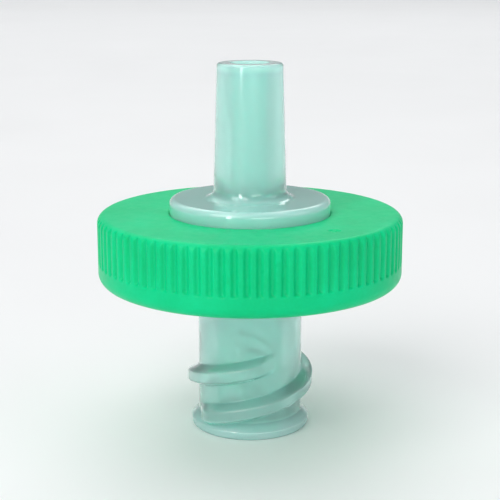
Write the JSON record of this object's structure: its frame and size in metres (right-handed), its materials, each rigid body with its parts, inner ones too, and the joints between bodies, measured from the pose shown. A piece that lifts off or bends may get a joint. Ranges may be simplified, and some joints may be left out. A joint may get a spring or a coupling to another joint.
{
  "type": "syringe filter",
  "caption": "Small overmoulded syringe filter with a female lock hub at the inlet, a tapered outlet nozzle and a ribbed green ring around a fibre filter disc.",
  "frame": {"origin": "centre of the inlet hub's mouth, on the plane the filter stands on", "axes": "+Z along the flow axis, from the inlet mouth to the outlet tip; X and Y are across the ring"},
  "size_m": [0.0186, 0.0186, 0.0224],
  "materials": {
    "ring_green": "satin opaque green polypropylene, moulded over the housing",
    "housing_clear": "translucent natural polypropylene",
    "disc_white": "matt white glass-fibre felt"
  },
  "bodies": {
    "root": {"inlet_housing": "housing_clear", "filter_disc": "disc_white", "outlet_housing": "housing_clear", "overmould_ring": "ring_green"}
  },
  "joints": []
}
